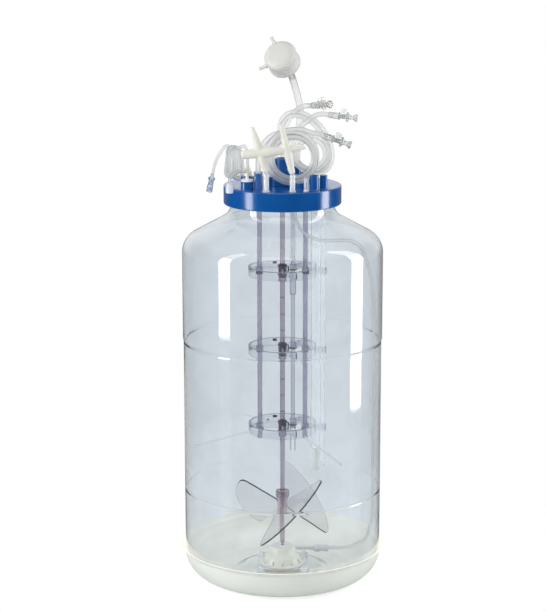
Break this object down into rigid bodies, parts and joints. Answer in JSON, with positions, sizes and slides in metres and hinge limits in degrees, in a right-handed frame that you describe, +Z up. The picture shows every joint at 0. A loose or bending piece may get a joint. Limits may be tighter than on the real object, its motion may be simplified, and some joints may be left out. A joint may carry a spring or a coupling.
{
  "type": "bench bioreactor",
  "caption": "Clear stirred bioreactor vessel in a round base cup, with a blue moulded head, drive shaft, pitched impeller, dip tubes, coiled lines with quick couplings and a vent filter.",
  "frame": {"origin": "middle of the base cup's foot, on the bench", "axes": "+Z up along the shaft; -Y is the front, with the couplings on the right at +X"},
  "size_m": [0.3468, 0.3468, 0.9088],
  "materials": {
    "clear_plastic": "clear, polished",
    "milky_plastic": "milky, satin",
    "gasket_rubber": "matt",
    "blue_plastic": "glossy moulded",
    "steel": "turned",
    "white_plastic": "satin",
    "ivory_rubber": "soft, satin",
    "ivory_plastic": "satin",
    "smoked_plastic": "smoked, polished",
    "smoked_clear_plastic": "lightly smoked, polished",
    "clear_tubing": "translucent, smooth",
    "grey_plastic": "satin",
    "coupling_plastic": "translucent grey",
    "filter_plastic": "translucent white, satin"
  },
  "bodies": {
    "vessel": {"base_cup": "milky_plastic", "vessel_bottle": "clear_plastic", "mouth_gasket": "gasket_rubber", "head_cap": "blue_plastic", "drive_housing": "blue_plastic", "upper_bearing": "steel", "left_clear_port": "clear_plastic", "right_clear_port": "clear_plastic", "light_post": "white_plastic", "port_sleeve": "clear_plastic", "coil_holder": "ivory_rubber", "sampling_fitting": "ivory_plastic", "cage_ring_1": "clear_plastic", "cage_ring_2": "clear_plastic", "cage_ring_3": "clear_plastic", "left_dip_tube": "smoked_plastic", "right_dip_tube": "smoked_plastic", "side_tube": "clear_plastic", "middle_dip_tube": "smoked_plastic", "middle_sleeve": "clear_plastic", "filter_tube": "clear_plastic", "filter_tip": "white_plastic", "stay_rod_left": "clear_plastic", "stay_rod_right": "clear_plastic", "stay_rod_rear": "clear_plastic", "bearing_base": "clear_plastic", "lower_bearing": "ivory_plastic", "bearing_bush": "white_plastic", "sparge_tube": "clear_tubing", "sparge_fitting": "grey_plastic", "front_coil": "clear_tubing", "middle_coil": "clear_tubing", "rear_coil": "clear_tubing", "front_lead_in": "clear_tubing", "front_lead_out": "clear_tubing", "middle_lead_out": "clear_tubing", "rear_lead_out": "clear_tubing", "exhaust_tube": "clear_tubing", "vent_filter": "filter_plastic", "sampling_hank": "clear_tubing", "sample_lead_in": "clear_tubing", "sample_lead_out": "clear_tubing", "cap_lead": "clear_tubing", "luer_connector": "coupling_plastic", "front_coupling": "coupling_plastic", "middle_coupling": "coupling_plastic", "rear_coupling": "coupling_plastic"},
    "rotor": {"agitator_shaft": "smoked_plastic", "impeller": "smoked_clear_plastic", "drive_coupling": "steel"},
    "front_latch": {"front_latch": "white_plastic"},
    "middle_latch": {"middle_latch": "white_plastic"},
    "rear_latch": {"rear_latch": "white_plastic"},
    "front_plug": {"front_plug": "coupling_plastic"},
    "middle_plug": {"middle_plug": "coupling_plastic"},
    "rear_plug": {"rear_plug": "coupling_plastic"},
    "disc_plug": {"disc_plug": "white_plastic"},
    "luer_cap": {"luer_cap": "white_plastic"}
  },
  "joints": [
    {"name": "agitator_spin", "type": "hinge", "parent": "vessel", "child": "rotor", "pos_m": [0, 0, 0.3], "axis": [0, 0, 1], "continuous": true},
    {"name": "front_latch_press", "type": "slide", "parent": "vessel", "child": "front_latch", "axis": [-0.3311, 0, -0.9436], "range_m": [0, 0.0015], "stiffness_N_per_m": 400, "springref_m": -0.001},
    {"name": "middle_latch_press", "type": "slide", "parent": "vessel", "child": "middle_latch", "axis": [-0.1175, 0, -0.9931], "range_m": [0, 0.0015], "stiffness_N_per_m": 400, "springref_m": -0.001},
    {"name": "rear_latch_press", "type": "slide", "parent": "vessel", "child": "rear_latch", "axis": [0.0798, -0.1038, -0.9914], "range_m": [0, 0.0015], "stiffness_N_per_m": 400, "springref_m": -0.001},
    {"name": "front_plug_pull", "type": "slide", "parent": "vessel", "child": "front_plug", "axis": [0.9436, 0, -0.3311], "range_m": [0, 0.03]},
    {"name": "middle_plug_pull", "type": "slide", "parent": "vessel", "child": "middle_plug", "axis": [0.9931, 0, -0.1175], "range_m": [0, 0.03]},
    {"name": "rear_plug_pull", "type": "slide", "parent": "vessel", "child": "rear_plug", "axis": [0.6045, -0.7858, 0.131], "range_m": [0, 0.03]},
    {"name": "disc_plug_pull", "type": "slide", "parent": "vessel", "child": "disc_plug", "axis": [0, 0, 1], "range_m": [0, 0.03]},
    {"name": "luer_cap_pull", "type": "slide", "parent": "vessel", "child": "luer_cap", "axis": [0, 0, -1], "range_m": [0, 0.015]}
  ]
}
